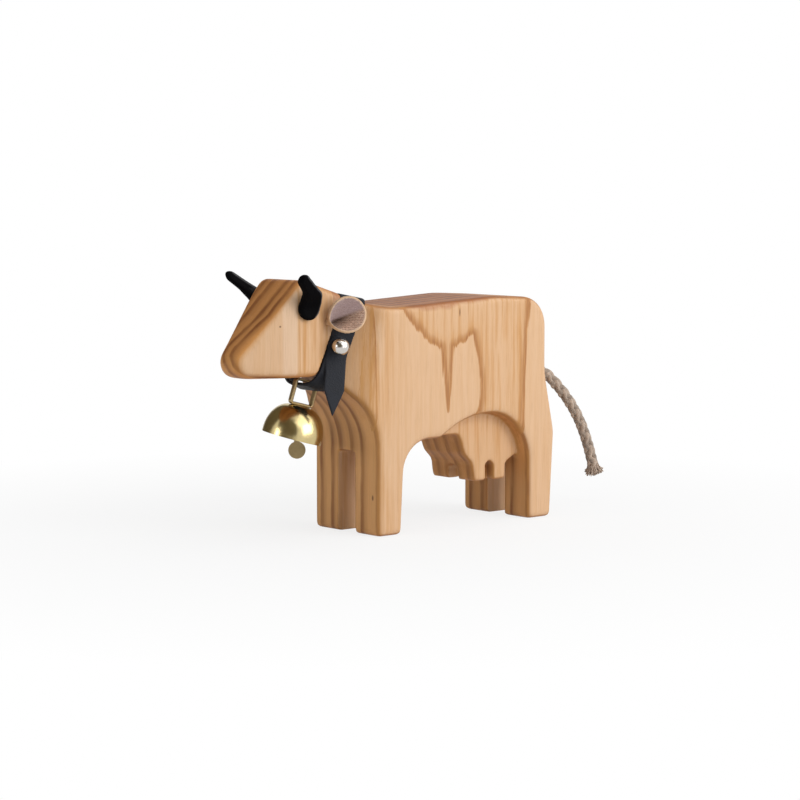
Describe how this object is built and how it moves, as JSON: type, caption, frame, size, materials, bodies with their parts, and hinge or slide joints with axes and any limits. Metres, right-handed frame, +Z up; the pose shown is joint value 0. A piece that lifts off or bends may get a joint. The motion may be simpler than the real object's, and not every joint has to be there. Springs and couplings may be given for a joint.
{
  "type": "cow figurine",
  "caption": "Carved wooden cow with leather horns, ears and buttoned collar, a swinging brass bell with a clapper, and a braided rope tail; stands on a shelf as an ornament.",
  "frame": {"origin": "on the floor plane under the feet, midway between nose and hocks, in the middle plane of the plank; the rope tail is not counted", "axes": "+X from nose to rump, +Y to the cow's right side, +Z up"},
  "size_m": [0.1964, 0.0492, 0.1015],
  "materials": {
    "wood": "sanded and oiled, growth lines showing",
    "horn_leather": "matte black",
    "ear_leather": "suede inside, tan grain outside",
    "collar_leather": "fine grain, half matte",
    "nickel": "polished",
    "brass_bell": "polished",
    "brass_strip": "dull",
    "rope": "braided hemp"
  },
  "bodies": {
    "figure": {"wooden_body": "wood", "horn_left": "horn_leather", "horn_right": "horn_leather", "ear_left": "ear_leather", "ear_right": "ear_leather", "collar_strap": "collar_leather", "stud_ball": "nickel", "stud_screw": "nickel", "tail_rope": "rope"},
    "bell": {"bell_bail": "brass_strip", "bell_dome": "brass_bell", "clapper_eye": "brass_strip"},
    "clapper": {"clapper": "brass_strip"}
  },
  "joints": [
    {"name": "bell_swing", "type": "hinge", "parent": "figure", "child": "bell", "pos_m": [-0.03745, 0, 0.0601], "axis": [0.9703, 0, -0.2419], "range_deg": [-25, 23]},
    {"name": "clapper_swing", "type": "hinge", "parent": "bell", "child": "clapper", "pos_m": [-0.04097, 0.00179, 0.04599], "axis": [-0.6463, -0.7603, 0.0649], "range_deg": [-45, 22]}
  ]
}
